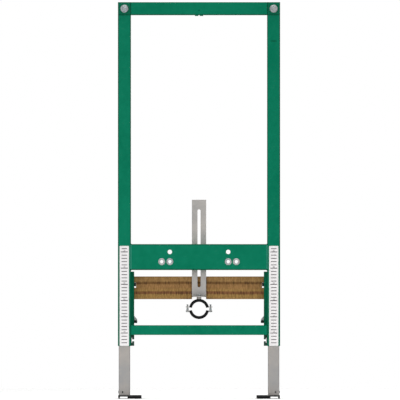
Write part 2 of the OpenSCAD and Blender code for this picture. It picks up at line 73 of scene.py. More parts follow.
def placeCamera(values):
    camera = bpy.data.objects.new("camera", bpy.data.cameras.new("camera"))
    bpy.context.scene.collection.objects.link(camera)
    camera.data.lens = values["lens"]
    camera.data.clip_end = values["reach"]
    distance = values["viewWidth"] * values["lens"] / camera.data.sensor_width
    camera.location = Vector(values["aim"]) - Vector((0, distance, 0))
    camera.rotation_euler = (math.pi / 2, 0, 0)
    bpy.context.scene.camera = camera


placeCamera(cameraSet)
print("camera placed")


class Wire:
    # a node's output; plain arithmetic on it adds Math nodes
    def __init__(self, nodes, socket):
        self.nodes = nodes
        self.socket = socket

    def math(self, operation, *others):
        return self.nodes.math(operation, self, *others)

    def __add__(self, other):
        return self.math("ADD", other)

    def __mul__(self, other):
        return self.math("MULTIPLY", other)

    __radd__ = __add__
    __rmul__ = __mul__

    def __sub__(self, other):
        return self.math("SUBTRACT", other)

    def __rsub__(self, other):
        return self.nodes.math("SUBTRACT", other, self)

    def __pow__(self, other):
        return self.math("POWER", other)

    def __abs__(self):
        return self.math("ABSOLUTE")

    def above(self, limit):
        return self.math("GREATER_THAN", limit)

    def span(self, low, high):
        # 0 below low, 1 above high
        sockets = {"Value": self, "From Min": low, "From Max": high}
        return self.nodes.add("ShaderNodeMapRange", {"clamp": True}, sockets)["Result"]


class NodeTree:
    # adds nodes to a material or to the world
    def __init__(self, owner):
        owner.use_nodes = True
        self.tree = owner.node_tree
        self.tree.nodes.clear()

    def add(self, kind, settings=None, sockets=None):
        # gives the new node's outputs, by name and by number
        node = self.tree.nodes.new(kind)
        for key, value in (settings or {}).items():
            if key == "stops":
                self.setStops(node.color_ramp, value)
            else:
                setattr(node, key, value)
        for key, value in (sockets or {}).items():
            if isinstance(value, Wire):
                self.tree.links.new(value.socket, node.inputs[key])
            else:
                node.inputs[key].default_value = value
        outputs = [*node.outputs.items(), *enumerate(node.outputs)]
        return {key: Wire(self, socket) for key, socket in outputs}

    def setStops(self, ramp, stops):
        while len(ramp.elements) < len(stops):
            ramp.elements.new(0.5)
        for element, (position, colour) in zip(ramp.elements, stops):
            element.position = position
            element.color = colour

    def math(self, operation, *values):
        settings = {"operation": operation}
        return self.add("ShaderNodeMath", settings, dict(enumerate(values)))["Value"]


class Finish(NodeTree):
    # one procedural material
    def __init__(self, name):
        self.material = bpy.data.materials.new(name)
        super().__init__(self.material)
        self.place = self.add("ShaderNodeTexCoord")["Object"]

    def mix(self, factor, first, second):
        settings = {"data_type": "RGBA"}
        return self.add("ShaderNodeMix", settings, {0: factor, 6: first, 7: second})[2]

    def stretched(self, scales):
        return self.add("ShaderNodeMapping", {}, {"Vector": self.place, "Scale": scales})["Vector"]

    def noise(self, scale, detail, place=None):
        sockets = {"Vector": place or self.place, "Scale": scale, "Detail": detail}
        return self.add("ShaderNodeTexNoise", {}, sockets)["Fac"]

    def streaks(self, scales, detail):
        # noise with its own scale along X, Y and Z
        return self.noise(1, detail, self.stretched(scales))

    def cells(self, scale):
        return self.add("ShaderNodeTexVoronoi", {}, {"Vector": self.place, "Scale": scale})

    def axes(self, vector):
        split = self.add("ShaderNodeSeparateXYZ", {}, {0: vector})
        return split["X"], split["Y"], split["Z"]

    def facing(self):
        # how squarely the surface faces along each axis
        return [abs(part) for part in self.axes(self.add("ShaderNodeNewGeometry")["True Normal"])]

    def rim(self, width):
        # 1 along an edge of the solid, 0 away from it
        soft = self.add("ShaderNodeBevel", {"samples": 4}, {"Radius": width})["Normal"]
        flat = self.add("ShaderNodeNewGeometry")["Normal"]
        turn = self.add("ShaderNodeVectorMath", {"operation": "DOT_PRODUCT"}, {0: soft, 1: flat})
        return ((1 - turn["Value"]) * 4).span(0, 1)

    def corner(self):
        # 1 on the round corners of a square tube, which face along no axis
        x, y, z = self.facing()
        return 1 - x.math("MAXIMUM", y).math("MAXIMUM", z).span(0.90, 0.995)

    def bump(self, height, depth, strength):
        sockets = {"Height": height, "Distance": depth, "Strength": strength}
        return self.add("ShaderNodeBump", {}, sockets)["Normal"]

    def done(self, varying, shine):
        # shine is the same all over the surface
        sockets = {**varying, "Specular IOR Level": shine}
        shader = self.add("ShaderNodeBsdfPrincipled", {}, sockets)
        self.add("ShaderNodeOutputMaterial", {}, {"Surface": shader["BSDF"]})
        return self.material


def paint(red, green, blue):
    # a screen colour, 0 to 255, as the shader's linear colour, by the usual screen curve
    def linear(part):
        part = part / 255
        return part / 12.92 if part <= 0.04045 else ((part + 0.055) / 1.055) ** 2.4
    return (linear(red), linear(green), linear(blue), 1)


# powder coat

greenCoatSet = {
    "main": paint(0, 106, 78),
    "light": paint(3, 116, 87),
    # edge: darker green, used for painted shade on the edges and round corners, and for the grain's specks
    "edge": paint(0, 66, 46),
    "bare": paint(104, 122, 114),    # primer in the chips and scuffs
    "edgeWidth": 2.8 * mm,
    "edgeShare": 0.8,                # how much of the edge colour an edge shows
    "cornerShare": 0.9,              # how much a round corner counts as an edge
    "drift": 7,                      # noise scales, from slow changes of the film to its grain
    "cloud": 55,
    "filmShare": 0.75,
    "peel": 420,                     # orange peel of the baked powder
    "grain": 2600,
    "speckShare": 0.35,
    "chips": 260,
    "chipShare": 0.7,
    "scuffs": (45, 45, 1200),        # level marks
    "scuffShare": 0.22,
    "depth": 0.12 * mm,
    "rough": 0.30,
    "shine": 0.06,
}
darkCoatSet = {
    **greenCoatSet,
    "main": paint(0, 89, 63),
    "light": paint(4, 101, 75),
    "edge": paint(0, 54, 36),
    "edgeWidth": 1.8 * mm,
    "peel": 380,
    "rough": 0.34,
}
railCoatSet = {
    **darkCoatSet,
    "main": paint(0, 102, 72),
    "light": paint(4, 110, 82),
}
# lighter coat for the channel's weld seam: a painted highlight along the seam
seamHighlightCoatSet = {
    **greenCoatSet,
    "main": paint(34, 120, 98),
    "light": paint(52, 132, 112),
    "edgeWidth": 0.8 * mm,
    "cornerShare": 0,
}


def powderCoat(name, values):
    coat = Finish(name)
    cloud = coat.noise(values["cloud"], 4)
    peel = coat.noise(values["peel"], 2)
    grain = coat.noise(values["grain"], 2)
    # rim marks the edges and round corners, for the painted shade and for the chips
    rim = coat.rim(values["edgeWidth"]).math("MAXIMUM", coat.corner() * values["cornerShare"])
    film = (coat.noise(values["drift"], 3) * 0.6 + cloud * 0.4).span(0.38, 0.62)
    scuff = coat.streaks(values["scuffs"], 2).span(0.64, 0.72) * cloud.span(0.50, 0.60)
    chip = (rim * coat.noise(values["chips"], 4)).span(0.60, 0.64)
    colour = coat.mix(film * values["filmShare"], values["main"], values["light"])
    colour = coat.mix(grain.span(0.62, 0.78) * values["speckShare"], colour, values["edge"])
    colour = coat.mix(rim * values["edgeShare"], colour, values["edge"])     # painted shade: the edges and round corners are darkened
    colour = coat.mix(scuff * values["scuffShare"], colour, values["bare"])
    colour = coat.mix(chip * values["chipShare"], colour, values["bare"])
    rough = values["rough"] + 0.16 * film + 0.10 * grain + 0.2 * scuff
    relief = coat.bump(peel + 0.10 * grain - 0.5 * chip, values["depth"], 0.5)
    varying = {"Base Color": colour, "Roughness": rough, "Normal": relief}
    return coat.done(varying, values["shine"])


# moulded plastic of the guide blocks

guidePlasticSet = {
    "main": paint(26, 68, 54),
    "light": paint(52, 96, 80),
    "edge": paint(16, 48, 37),
    "edgeWidth": 1.2 * mm,
    "edgeShare": 0.6,
    "flow": (90, 90, 14),            # upright flow marks
    "flowShare": 0.55,
    "spark": 1500,                   # grain of the mould
    "depth": 0.10 * mm,
    "rough": 0.48,
    "shine": 0.3,
}


def guidePlastic(name, values):
    plastic = Finish(name)
    flow = plastic.streaks(values["flow"], 4)
    spark = plastic.noise(values["spark"], 3)
    rim = plastic.rim(values["edgeWidth"])
    colour = plastic.mix(flow.span(0.4, 0.7) * values["flowShare"], values["main"], values["light"])
    colour = plastic.mix(rim * values["edgeShare"], colour, values["edge"])
    relief = plastic.bump(spark, values["depth"], 0.6)
    rough = values["rough"] + 0.2 * spark
    varying = {"Base Color": colour, "Roughness": rough, "Normal": relief}
    return plastic.done(varying, values["shine"])


# zinc plate of the legs, the drain bar and the small fasteners

zincSet = {
    "edgeShare": 0.7,
    "lineShare": 0.35,
    "crystalShare": 0.25,
    "bloom": 16,                     # scale of the clouded plating
    "grain": 1800,
    "depth": 0.06 * mm,
    "rough": 0.36,
    "metal": 0.62,
    "shine": 0.5,
}
sheetZincSet = {
    **zincSet,
    "main": paint(165, 160, 156),
    "cool": paint(152, 151, 151),
    "warm": paint(173, 167, 160),
    # edge: darker, painted shade along the edges and the tube's round corners
    "edge": paint(104, 104, 102),
    "edgeWidth": 2.4 * mm,
    "cornerShare": 1,
    "drawn": (520, 520, 5),          # drawing lines along the tube
    "spangle": 190,
    "middle": 230 * mm,              # the tube's middle, to either side
    "bore": 16.2 * mm,               # half of its inner width, with a margin
    # painted shade for the tube's inside, seen through its holes
    "inside": paint(26, 25, 24),
}
barZincSet = {
    **zincSet,
    "main": paint(177, 173, 169),
    "cool": paint(162, 160, 158),
    "warm": paint(184, 180, 173),
    # edge: darker, painted shade along the bar's edges
    "edge": paint(120, 119, 117),
    "edgeWidth": 2.0 * mm,
    "cornerShare": 0,
    "drawn": (620, 620, 7),
    "spangle": 260,
}
boltZincSet = {
    **zincSet,
    "main": paint(172, 174, 173),
    "cool": paint(148, 158, 163),
    "warm": paint(182, 176, 165),
    "edge": paint(216, 216, 213),
    "edgeWidth": 0.9 * mm,
    "cornerShare": 0,
    "drawn": (240, 240, 240),
    "spangle": 620,
}


def zincPlate(name, values):
    zinc = Finish(name)
    lines = zinc.streaks(values["drawn"], 3)
    bloom = zinc.noise(values["bloom"], 4)
    crystal = zinc.add("ShaderNodeSeparateColor", {}, {0: zinc.cells(values["spangle"])["Color"]})[0]
    grain = zinc.noise(values["grain"], 2)
    rim = zinc.rim(values["edgeWidth"]).math("MAXIMUM", zinc.corner() * values["cornerShare"])
    colour = zinc.mix(bloom.span(0.38, 0.64), values["cool"], values["main"])
    colour = zinc.mix(crystal.span(0.55, 1) * values["crystalShare"], colour, values["warm"])
    colour = zinc.mix(lines.span(0.56, 0.72) * values["lineShare"], colour, values["cool"])
    # painted shade on the sheet and bar zinc, whose edge colour is darker than the main one
    colour = zinc.mix(rim * values["edgeShare"], colour, values["edge"])
    if "inside" in values:           # painted shade: a tube's inside is darkened
        x, y = zinc.axes(zinc.place)[:2]
        beside = abs(abs(x) - values["middle"]).math("MAXIMUM", abs(y))
        colour = zinc.mix(1 - beside.above(values["bore"]), colour, values["inside"])
    rough = values["rough"] + 0.16 * lines + 0.10 * crystal
    metal = values["metal"] + 0.16 * bloom
    relief = zinc.bump(lines * 0.6 + grain * 0.4, values["depth"], 0.5)
    varying = {"Base Color": colour, "Roughness": rough, "Metallic": metal, "Normal": relief}
    return zinc.done(varying, values["shine"])


# black coat of the feet and screws, black plastic of the locks, rubber

blackCoatSet = {
    "main": paint(20, 20, 21),
    "light": paint(34, 34, 35),
    "edge": paint(78, 78, 77),
    "edgeWidth": 0.7 * mm,
    "edgeShare": 0.8,
    "dust": 38,
    "wear": 210,
    "grain": 900,
    "depth": 0.10 * mm,
    "rough": 0.42,
    "shine": 0.2,
}
blackPlasticSet = {
    **blackCoatSet,
    "main": paint(24, 23, 23),
    "light": paint(36, 36, 36),
    "edge": paint(56, 56, 56),
    "grain": 1500,
    "depth": 0.06 * mm,
    "rough": 0.5,
}
rubberSet = {
    **blackCoatSet,
    "main": paint(8, 9, 10),
    "light": paint(17, 18, 19),
    "edge": paint(38, 38, 39),
    "grain": 700,
    "depth": 0.14 * mm,
    "rough": 0.76,
}


def blackFinish(name, values):
    black = Finish(name)
    dust = black.noise(values["dust"], 5)
    grain = black.noise(values["grain"], 3)
    worn = (black.rim(values["edgeWidth"]) * black.noise(values["wear"], 3)).span(0.2, 0.6)
    colour = black.mix(dust.span(0.42, 0.72), values["main"], values["light"])
    colour = black.mix(worn * values["edgeShare"], colour, values["edge"])
    rough = values["rough"] + 0.18 * grain
    relief = black.bump(grain, values["depth"], 0.7)
    varying = {"Base Color": colour, "Roughness": rough, "Normal": relief}
    return black.done(varying, values["shine"])


# plywood of the board

plywoodSet = {
    "bottom": 306 * mm,              # where the board stands
    "height": 70 * mm,
    "front": 22.3 * mm,
    "thickness": 18 * mm,
    "pale": paint(154, 119, 73),
    "middle": paint(154, 115, 70),
    "ruddy": paint(128, 85, 54),
    "olive": paint(162, 128, 72),
    "dark": paint(108, 76, 40),
    "late": paint(58, 36, 18),
    "bands": (                       # from the face's lower edge, 0, to its upper edge, 1
        (0.00, "dark"), (0.03, "olive"), (0.20, "olive"), (0.24, "ruddy"), (0.32, "ruddy"),
        (0.37, "olive"), (0.50, "middle"), (0.64, "middle"), (0.69, "dark"), (0.73, "dark"),
        (0.79, "pale"), (0.95, "pale"), (1.00, "dark"),
    ),
    # a band's middle, and how far from it the band starts to fade and is gone
    "lateBands": ((0.71, 0.03, 0.10), (0.27, 0.03, 0.12)),
    "knotBand": (0.53, 0.04, 0.08),
    "knots": 52,
    "fibre": (14, 900, 900),
    "pore": (60, 2200, 2200),
    "mottle": (330, 330, 110),
    "ray": (300, 300, 44),           # short upright streaks
    "plies": 7,
    "pith": 700,
    "edgeWidth": 1.0 * mm,
    "depth": 0.18 * mm,
    "rough": 0.58,
    "shine": 0.15,
}


def plywoodFinish(name, values):
    wood = Finish(name)
    y, z = wood.axes(wood.place)[1:]
    across = (z - values["bottom"]) * (1 / values["height"])              # 0 to 1 up the face
    sway = (wood.noise(4, 2) - 0.5) * 0.05 + (wood.noise(30, 2) - 0.5) * 0.03
    stops = [(position, values[colour]) for position, colour in values["bands"]]
    bands = wood.add("ShaderNodeValToRGB", {"stops": stops}, {"Fac": across + sway})["Color"]

    def band(middle, full, gone):
        return 1 - abs(across - middle).span(full, gone)

    fibre = wood.streaks(values["fibre"], 5)
    pore = wood.streaks(values["pore"], 3)
    mottle = wood.streaks(values["mottle"], 3)
    ray = wood.streaks(values["ray"], 3)
    upper, lower = [band(*place) for place in values["lateBands"]]
    streaks = ray.span(0.46, 0.58) * (0.30 + 0.70 * upper.math("MAXIMUM", lower))
    knots = 1 - wood.cells(values["knots"])["Distance"].span(0.08, 0.26)
    spots = knots * band(*values["knotBand"])
    face = wood.mix(fibre.span(0.40, 0.66) * 0.30, bands, values["dark"])
    face = wood.mix(mottle.span(0.44, 0.58) * 0.42, face, values["dark"])
    face = wood.mix(streaks * 0.62, face, values["late"])
    face = wood.mix(pore.span(0.60, 0.74) * 0.45, face, values["late"])
    face = wood.mix(spots * 0.75, face, values["dark"])
    inward = (y - values["front"]) * (values["plies"] / values["thickness"])    # counts the plies
    endGrain = (inward * 0.5).math("FRACT").above(0.5)                    # on every second ply
    layer = wood.mix(endGrain, values["pale"], values["ruddy"])
    layer = wood.mix(wood.noise(values["pith"], 3).span(0.4, 0.7) * 0.5, layer, values["dark"])
    glue = abs(inward.math("FRACT") - 0.5).span(0.42, 0.5)
    layer = wood.mix(glue * 0.7, layer, values["late"])
    colour = wood.mix(wood.facing()[1].above(0.6), layer, face)           # the face looks along Y
    colour = wood.mix(wood.rim(values["edgeWidth"]) * 0.35, colour, values["dark"])
    rough = values["rough"] + 0.2 * fibre
    relief = wood.bump(fibre + 0.6 * pore - 0.5 * knots, values["depth"], 0.7)
    varying = {"Base Color": colour, "Roughness": rough, "Normal": relief}
    return wood.done(varying, values["shine"])


# film and print of the scales

labelSet = {
    "film": paint(228, 225, 226),
    "aged": paint(216, 214, 214),
    "age": 26,
    "edgeWidth": 0.5 * mm,
    "grain": 1400,
    "depth": 0.02 * mm,
    "rough": 0.34,
    "shine": 0.3,
}
printSet = {
    "ink": paint(66, 60, 64),
    "worn": paint(96, 90, 98),
    "wear": 900,
    "rough": 0.4,
    "shine": 0.2,
}


def labelFilm(name, values):
    film = Finish(name)
    age = film.noise(values["age"], 4)
    grain = film.noise(values["grain"], 2)
    colour = film.mix(age.span(0.42, 0.7) * 0.6, values["film"], values["aged"])
    colour = film.mix(film.rim(values["edgeWidth"]) * 0.5, colour, values["aged"])
    relief = film.bump(grain, values["depth"], 0.4)
    varying = {"Base Color": colour, "Roughness": values["rough"] + 0.12 * grain, "Normal": relief}
    return film.done(varying, values["shine"])


def printInk(name, values):
    ink = Finish(name)
    wear = ink.noise(values["wear"], 3)
    colour = ink.mix(wear.span(0.5, 0.75) * 0.7, values["ink"], values["worn"])
    varying = {"Base Color": colour, "Roughness": values["rough"] + 0.15 * wear}
    return ink.done(varying, values["shine"])


finishes = {
    "green_coat": powderCoat("greenCoat", greenCoatSet),
    "dark_green_coat": powderCoat("darkGreenCoat", darkCoatSet),
    "railCoat": powderCoat("railCoat", railCoatSet),
    "seamHighlightCoat": powderCoat("seamHighlightCoat", seamHighlightCoatSet),
    "dark_green_plastic": guidePlastic("guidePlastic", guidePlasticSet),
    "sheetZinc": zincPlate("sheetZinc", sheetZincSet),
    "barZinc": zincPlate("barZinc", barZincSet),
    "boltZinc": zincPlate("boltZinc", boltZincSet),
    "black_coat": blackFinish("blackCoat", blackCoatSet),
    "black_plastic": blackFinish("blackPlastic", blackPlasticSet),
    "black_rubber": blackFinish("blackRubber", rubberSet),
    "plywood": plywoodFinish("plywood", plywoodSet),
    "label": labelFilm("labelFilm", labelSet),
    "ink": printInk("labelInk", printSet),
}
print("finishes made")


# making and placing pieces

makingSet = {
    "sharpFrom": 32,                 # degrees from which an edge is shaded sharp
    "softenFrom": 30,                # degrees from which softening rounds an edge
    "weld": 0.004 * mm,              # points of a CAD solid closer than this are one
    "flat": 0.5,                     # degrees below which neighbouring faces are one
    "hair": 0.0001 * mm,             # how close to a cutting plane a point counts as on it
}


def flatNormals(bm, rounded, sharpFrom):
    # normals for each face corner: flat faces stay flat, the rounded edges blend between them
    limit = math.cos(math.radians(sharpFrom))
    normals = []
    for face in bm.faces:
        for vert in face.verts:
            near = [other for other in vert.link_faces if other.normal.dot(face.normal) > limit]
            flat = [other.normal for other in near if not other[rounded]]
            normals.append(sum(flat or [other.normal for other in near], Vector()).normalized())
    return normals


def addPiece(name, bm, finish, slot, body, stands=(), sharpFrom=makingSet["sharpFrom"], turnOut=True):
    # a bmesh becomes a piece that rides on a body and stands for CAD nodes
    if turnOut:
        bmesh.ops.recalc_face_normals(bm, faces=bm.faces[:])
    many = [face for face in bm.faces if len(face.verts) > 4]
    bmesh.ops.triangulate(bm, faces=many, ngon_method="EAR_CLIP")
    bm.normal_update()
    rounded = bm.faces.layers.int.get("rounded")
    normals = flatNormals(bm, rounded, sharpFrom) if rounded else None
    if rounded:
        bm.faces.layers.int.remove(rounded)
    mesh = bpy.data.meshes.new(name)
    bm.to_mesh(mesh)
    bm.free()
    mesh.materials.append(finishes[finish])
    mesh.shade_smooth()
    mesh.set_sharp_from_angle(angle=math.radians(sharpFrom))
    if normals:
        mesh.normals_split_custom_set(normals)
    piece = bpy.data.objects.new(name, mesh)
    bpy.context.scene.collection.objects.link(piece)
    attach(piece, body)
    if stands:
        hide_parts(*stands)


def camelName(node):
    first, *rest = node.split("_")
    return first + "".join(word.capitalize() for word in rest)


def standFor(node, bm, finish, slot, **shading):
    # a piece that takes a CAD node's place, on its body
    addPiece(camelName(node), bm, finish, slot, cadNodes[node]["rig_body"], (node,), **shading)


def onlyVerts(items):
    return [item for item in items if isinstance(item, bmesh.types.BMVert)]


def roundSharpEdges(bm, width, segments):
    rounded = bm.faces.layers.int.get("rounded") or bm.faces.layers.int.new("rounded")
    limit = math.radians(makingSet["softenFrom"])
    sharp = [edge for edge in bm.edges if edge.is_manifold and edge.calc_face_angle(0) > limit]
    made = bmesh.ops.bevel(bm, geom=sharp, offset=width * mm, segments=segments, affect="EDGES",
                           profile=0.5, material=-1, clamp_overlap=True)["faces"]
    for face in made:
        face[rounded] = 1


def mergeFlatFaces(bm):
    bmesh.ops.remove_doubles(bm, verts=bm.verts[:], dist=makingSet["weld"])
    bmesh.ops.dissolve_limit(bm, angle_limit=math.radians(makingSet["flat"]), verts=bm.verts[:],
                             edges=bm.edges[:])


def nodeCopy(node):
    bm = bmesh.new()
    bm.from_mesh(cadNodes[node].data)
    mergeFlatFaces(bm)
    return bm


def softenNode(node, finish, slot, width):
    # a copy of the CAD solid with its edges broken
    bm = nodeCopy(node)
    roundSharpEdges(bm, width, 2)
    standFor(node, bm, finish, slot)


def coverNode(node, finish):
    # the CAD solid keeps its shape and only takes the finish
    for materialSlot in cadNodes[node].material_slots:
        materialSlot.material = finishes[finish]


def cutThrough(bm, place, normal, clearOuter=False):
    bmesh.ops.bisect_plane(bm, geom=bm.verts[:] + bm.edges[:] + bm.faces[:], plane_co=place,
                           plane_no=normal, clear_outer=clearOuter, dist=makingSet["hair"])


def closeEnds(bm):
    rims = [edge for edge in bm.edges if edge.is_boundary]
    bmesh.ops.holes_fill(bm, edges=rims, sides=0)


def mirrored(bm):
    # turns a right-hand piece into its left-hand twin
    bmesh.ops.scale(bm, vec=(-1, 1, 1), verts=bm.verts[:])
    bmesh.ops.reverse_faces(bm, faces=bm.faces[:])


def inMetres(place):
    return [part * mm for part in place]


def putAt(bm, axis, place, verts=None):
    # moves what was built along +Z to a place in millimetres, turned to run along the axis
    turns = {"X": Matrix.Rotation(math.pi / 2, 4, "Y"), "Y": Matrix.Rotation(-math.pi / 2, 4, "X"),
             "Z": Matrix.Identity(4)}
    move = Matrix.Translation(inMetres(place)) @ turns[axis]
    bmesh.ops.transform(bm, matrix=move, verts=verts or bm.verts[:])


def joined(bm, points, closed):
    # points in millimetres, with edges between them
    verts = [bm.verts.new(inMetres(point)) for point in points]
    pairs = list(zip(verts, verts[1:] + verts[:1]))
    return verts + [bm.edges.new(pair) for pair in (pairs if closed else pairs[:-1])]


def lathe(bm, profile, steps, closed=False):
    # spins a profile of (radius, height) about Z
    outline = joined(bm, [(radius, 0, height) for radius, height in profile], closed)
    bmesh.ops.spin(bm, geom=outline, cent=(0, 0, 0), axis=(0, 0, 1), dvec=(0, 0, 0),
                   angle=2 * math.pi, steps=steps, use_merge=True, use_duplicate=False)
    bmesh.ops.remove_doubles(bm, verts=bm.verts[:], dist=0.001 * mm)


def helix(bm, profile, pitch, turns, around, closed=False):
    # winds a profile of (radius, height) up about Z
    outline = joined(bm, [(radius, 0, height) for radius, height in profile], closed)
    bmesh.ops.spin(bm, geom=outline, cent=(0, 0, 0), axis=(0, 0, 1),
                   dvec=(0, 0, pitch * mm / around), angle=2 * math.pi * turns,
                   steps=around * turns, use_merge=False, use_duplicate=False)


def prism(bm, outline, low, high):
    # extrudes an outline of (x, z) points from y low to y high, in millimetres
    verts = [bm.verts.new((x * mm, low * mm, z * mm)) for x, z in outline]
    face = bm.faces.new(verts)
    grown = bmesh.ops.extrude_face_region(bm, geom=[face])["geom"]
    bmesh.ops.translate(bm, vec=(0, (high - low) * mm, 0), verts=onlyVerts(grown))


# frame

softEdges = {
    # node: finish, material slot, edge radius in millimetres
    "left_corner": ("dark_green_coat", "dark_green_coat", 0.8),
    "right_corner": ("dark_green_coat", "dark_green_coat", 0.8),
    "lower_crossbar": ("green_coat", "green_coat", 0.6),
    "left_leg_guide": ("dark_green_plastic", "dark_green_plastic", 0.7),
    "right_leg_guide": ("dark_green_plastic", "dark_green_plastic", 0.7),
    "left_board_screw": ("black_coat", "black_coat", 0.4),
    "right_board_screw": ("black_coat", "black_coat", 0.4),
    "drain_nut": ("boltZinc", "zinc_plated", 0.3),
    "drain_bar": ("barZinc", "zinc_plated", 0.35),
    "clamp_upper_band": ("barZinc", "zinc_plated", 0.15),
    "clamp_lower_band": ("barZinc", "zinc_plated", 0.15),
    "left_foot_plate": ("black_coat", "black_coat", 0.7),
    "right_foot_plate": ("black_coat", "black_coat", 0.7),
    "left_foot_pad": ("black_rubber", "black_rubber", 0.8),
    "right_foot_pad": ("black_rubber", "black_rubber", 0.8),
}
plainNodes = {
    "left_post": "green_coat",
    "right_post": "green_coat",
    "top_bar": "green_coat",
    "mid_crossbar": "green_coat",
    "left_rail": "railCoat",
    "right_rail": "railCoat",
    "left_leg": "sheetZinc",
    "right_leg": "sheetZinc",
    "left_wall_nut": "boltZinc",
    "right_wall_nut": "boltZinc",
    "left_wall_back_nut": "boltZinc",
    "right_wall_back_nut": "boltZinc",
}
for node, (finish, slot, width) in softEdges.items():
    softenNode(node, finish, slot, width)
for node, finish in plainNodes.items():
    coverNode(node, finish)
print("solids softened and coated")


# board for the water connections

boardSet = {
    "cutHalf": 21.6,                 # cut-out in the lower edge, a little narrower than the drain bar
    "cutTop": 313.5,                 # just above the bar's lower end
    "edge": 0.6,
}


def waterBoard(node, values):
    # the CAD board with the cut-out below the drain bar's tab
    bm = nodeCopy(node)
    half, top = values["cutHalf"] * mm, values["cutTop"] * mm
    bottom = min(vert.co.z for vert in bm.verts)
    for edge in (-half, half):
        cutThrough(bm, (edge, 0, 0), (1, 0, 0))
    cutThrough(bm, (0, 0, top), (0, 0, 1))

    def cutFaces(axis):
        # faces of the cut-out's space that look along the axis
        bm.normal_update()
        found = []
        for face in bm.faces:
            middle = face.calc_center_median()
            if abs(face.normal[axis]) > 0.9 and abs(middle.x) < half - mm and middle.z < top - mm:
                found.append(face)
        return found

    grown = bmesh.ops.extrude_face_region(bm, geom=cutFaces(2))["geom"]
    bmesh.ops.translate(bm, vec=(0, 0, top - bottom), verts=onlyVerts(grown))
    bmesh.ops.delete(bm, geom=cutFaces(1) + cutFaces(2), context="FACES")
    mergeFlatFaces(bm)
    roundSharpEdges(bm, values["edge"], 2)
    standFor(node, bm, "plywood", "plywood")


waterBoard("mounting_board", boardSet)
print("board cut")


# threaded studs and clamp screws

threadForm = {
    "depth": 0.61,                   # share of the pitch
    "profile": ((0, 0), (0, 0.2), (1, 0.55), (1, 0.68), (0, 1)),    # shares of the depth and the pitch
}
wallStudSet = {"radius": 6, "pitch": 1.75, "length": 80, "axis": "Y", "start": (230, -31, 1202)}
drainStudSet = {"radius": 4, "pitch": 1.25, "length": 47.4, "axis": "Y", "start": (0, -17, 436),
                "plain": (0, 2, 6)}    # from, to and radius of the weld foot
hangerStudSet = {"radius": 4, "pitch": 1.25, "length": 16.8, "axis": "Z", "start": (0, 1, 305.4)}
clampScrewSet = {
    "radius": 2.8,
    "pitch": 1.0,
    "length": 24.4,
    "start": (35.5, 1, 266.0),
    # outlines of (radius, height) above the start
    "head": ((0, 0.9), (1.6, 0.9), (2.0, 0), (3.9, 0), (4.8, 0.6), (4.8, 2.1), (4.5, 2.4), (0, 2.4)),
    "collar": ((0, 4.9), (3.0, 4.9), (3.4, 5.3), (3.4, 11.5), (2.2, 12.9), (0, 12.9)),
}


def threadedRod(bm, radius, pitch, length, around=20):
    # a right-hand thread from z 0 up to the length, in millimetres, with chamfered ends
    depth = threadForm["depth"] * pitch
    core = radius - depth
    profile = [(core + out * depth, (along - 1) * pitch) for out, along in threadForm["profile"]]
    helix(bm, profile, pitch, math.ceil(length / pitch) + 2, around)
    bmesh.ops.remove_doubles(bm, verts=bm.verts[:], dist=0.002 * mm)
    for height, up in ((0, -1), (length * mm, 1)):
        cutThrough(bm, (0, 0, height), (0, 0, up), clearOuter=True)
    closeEnds(bm)
    for vert in bm.verts:                        # lead-in chamfer
        fromEnd = min(vert.co.z, length * mm - vert.co.z)
        limit = core * mm + fromEnd
        reach = math.hypot(vert.co.x, vert.co.y)
        if reach > limit:
            vert.co.x *= limit / reach
            vert.co.y *= limit / reach


def threadedStud(node, values, sign=1):
    bm = bmesh.new()
    threadedRod(bm, values["radius"], values["pitch"], values["length"])
    if "plain" in values:
        low, high, radius = values["plain"]
        lathe(bm, ((0, low), (radius, low), (radius, high), (0, high)), 32)
    x, y, z = values["start"]
    putAt(bm, values["axis"], (sign * x, y, z))
    standFor(node, bm, "boltZinc", "zinc_plated", sharpFrom=40)


def clampScrew(node, values, sign):
    bm = bmesh.new()
    threadedRod(bm, values["radius"], values["pitch"], values["length"], around=16)
    lathe(bm, values["head"], 32)
    lathe(bm, values["collar"], 28)
    x, y, z = values["start"]
    putAt(bm, "Z", (sign * x, y, z))
    standFor(node, bm, "boltZinc", "zinc_plated", sharpFrom=40)


for side, sign in sides:
    threadedStud(side + "_wall_stud", wallStudSet, sign)
    clampScrew(side + "_clamp_screw", clampScrewSet, sign)
threadedStud("drain_stud", drainStudSet)
threadedStud("hanger_stud", hangerStudSet)
print("threads cut")


# threaded inserts of the bidet fixings

insertSet = {
    "places": {"left_outer_insert": -115, "left_inner_insert": -90,
               "right_inner_insert": 90, "right_outer_insert": 115},
    "z": 422,
    "front": -21.5,
    # outlines of (radius, depth) from the front
    "outline": ((6.45, 0), (10.0, 0), (10.5, 0.4), (10.5, 1.5), (8, 1.5), (8, 4.5), (8.9, 4.8),
                (9.5, 5.7), (9.5, 7.3), (8.9, 8.2), (8, 8.5), (8, 19.1), (7.6, 19.5), (6.25, 19.5),
                (5.95, 19.2), (5.95, 0.5)),
    "ridge": ((6.0, 0.5), (5.1, 1.15), (5.1, 1.35), (6.0, 2.0)),
    "pitch": 1.75,
    "turns": 9,
}


def threadedInsert(node, x, values):
    bm = bmesh.new()
    lathe(bm, values["outline"], 48, closed=True)
    helix(bm, values["ridge"], values["pitch"], values["turns"], 24, closed=True)
    closeEnds(bm)
    putAt(bm, "Y", (x, values["front"], values["z"]))
    standFor(node, bm, "boltZinc", "zinc_plated")


for node, x in insertSet["places"].items():
    threadedInsert(node, x, insertSet)
print("inserts set")


# leg locks

